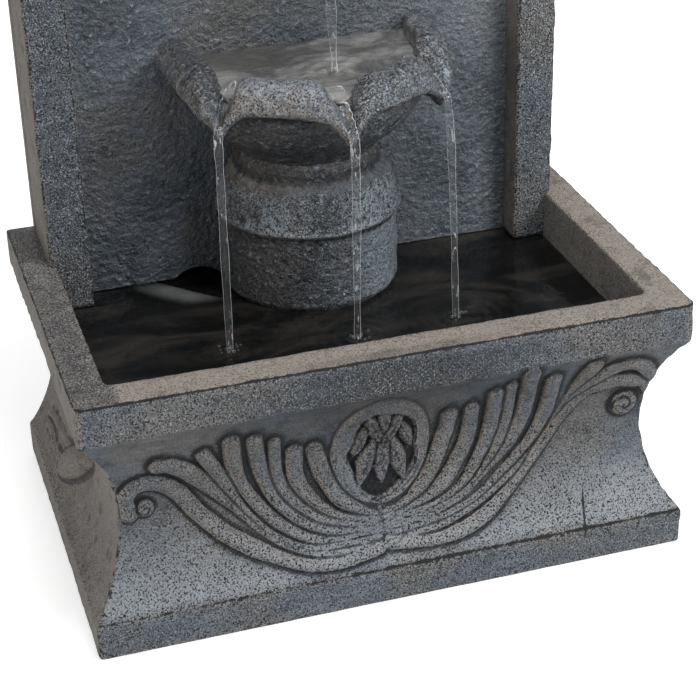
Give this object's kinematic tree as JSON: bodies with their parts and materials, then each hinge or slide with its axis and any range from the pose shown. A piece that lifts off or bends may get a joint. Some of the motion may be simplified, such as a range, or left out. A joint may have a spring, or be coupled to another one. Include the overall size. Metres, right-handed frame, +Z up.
{
  "type": "garden wall fountain",
  "caption": "Wall fountain of cast cement: a basin with a leaf relief, a framed back with a spout, and a scalloped bowl on an urn, fed by a pump and hose.",
  "frame": {"origin": "middle of the underside, where the plinth rests on the ground", "axes": "+X to the right seen from the front, +Y to the wall behind, +Z up"},
  "size_m": [0.54, 0.358, 0.86],
  "materials": {
    "cast_cement": "matt fibre cement with a dark wash",
    "vinyl_hose": "clear vinyl, slightly clouded",
    "pump_black": "satin moulded plastic",
    "fitting_grey": "satin moulded plastic",
    "cover_grey": "fine grained moulded plastic",
    "rubber_black": "matt",
    "steel": "bright zinc plated",
    "brass": "machined",
    "ferrite": "ground sintered ferrite",
    "core_steel": "stacked sheet",
    "coil_copper": "enamelled wire",
    "shaft_ceramic": "polished",
    "clip_white": "moulded plastic"
  },
  "bodies": {
    "root": {"basin": "cast_cement", "tower": "cast_cement", "tower_panel": "cast_cement", "tower_back": "cast_cement", "tower_coping": "cast_cement", "urn": "cast_cement", "bowl": "cast_cement", "spout": "cast_cement", "spout_bushing": "fitting_grey", "spout_washer": "rubber_black", "spout_nut": "fitting_grey", "spout_elbow": "fitting_grey", "hose": "vinyl_hose", "hose_clamps": "steel", "hose_clips": "clip_white", "cover_inserts": "brass", "cord_grommet": "rubber_black", "pump_housing": "pump_black", "stator_core": "core_steel", "stator_coil": "coil_copper", "suction_cups": "rubber_black", "impeller_shaft": "shaft_ceramic", "shaft_bushes": "rubber_black", "volute_cover": "pump_black", "chamber_seal": "rubber_black", "cord_gland": "rubber_black"},
    "pump_rotor": {"rotor_magnet": "ferrite", "impeller": "fitting_grey"},
    "cover": {"rear_cover": "cover_grey", "cover_screws": "steel"},
    "plug": {"drain_plug": "rubber_black"},
    "pump_strainer": {"strainer": "pump_black"},
    "pump_slider": {"flow_slider": "fitting_grey"}
  },
  "joints": [
    {"name": "rotor_spin", "type": "hinge", "parent": "root", "child": "pump_rotor", "pos_m": [0.034, 0.06, 0.055], "axis": [0, 1, 0], "continuous": true},
    {"name": "cover_lift", "type": "slide", "parent": "root", "child": "cover", "axis": [0, 1, 0], "range_m": [0, 0.08]},
    {"name": "plug_pull", "type": "slide", "parent": "root", "child": "plug", "axis": [0, 1, 0], "range_m": [0, 0.04]},
    {"name": "strainer_pull", "type": "slide", "parent": "root", "child": "pump_strainer", "axis": [0, -1, 0], "range_m": [0, 0.03]},
    {"name": "flow_slide", "type": "slide", "parent": "pump_strainer", "child": "pump_slider", "axis": [0, 0, -1], "range_m": [0, 0.018]}
  ]
}
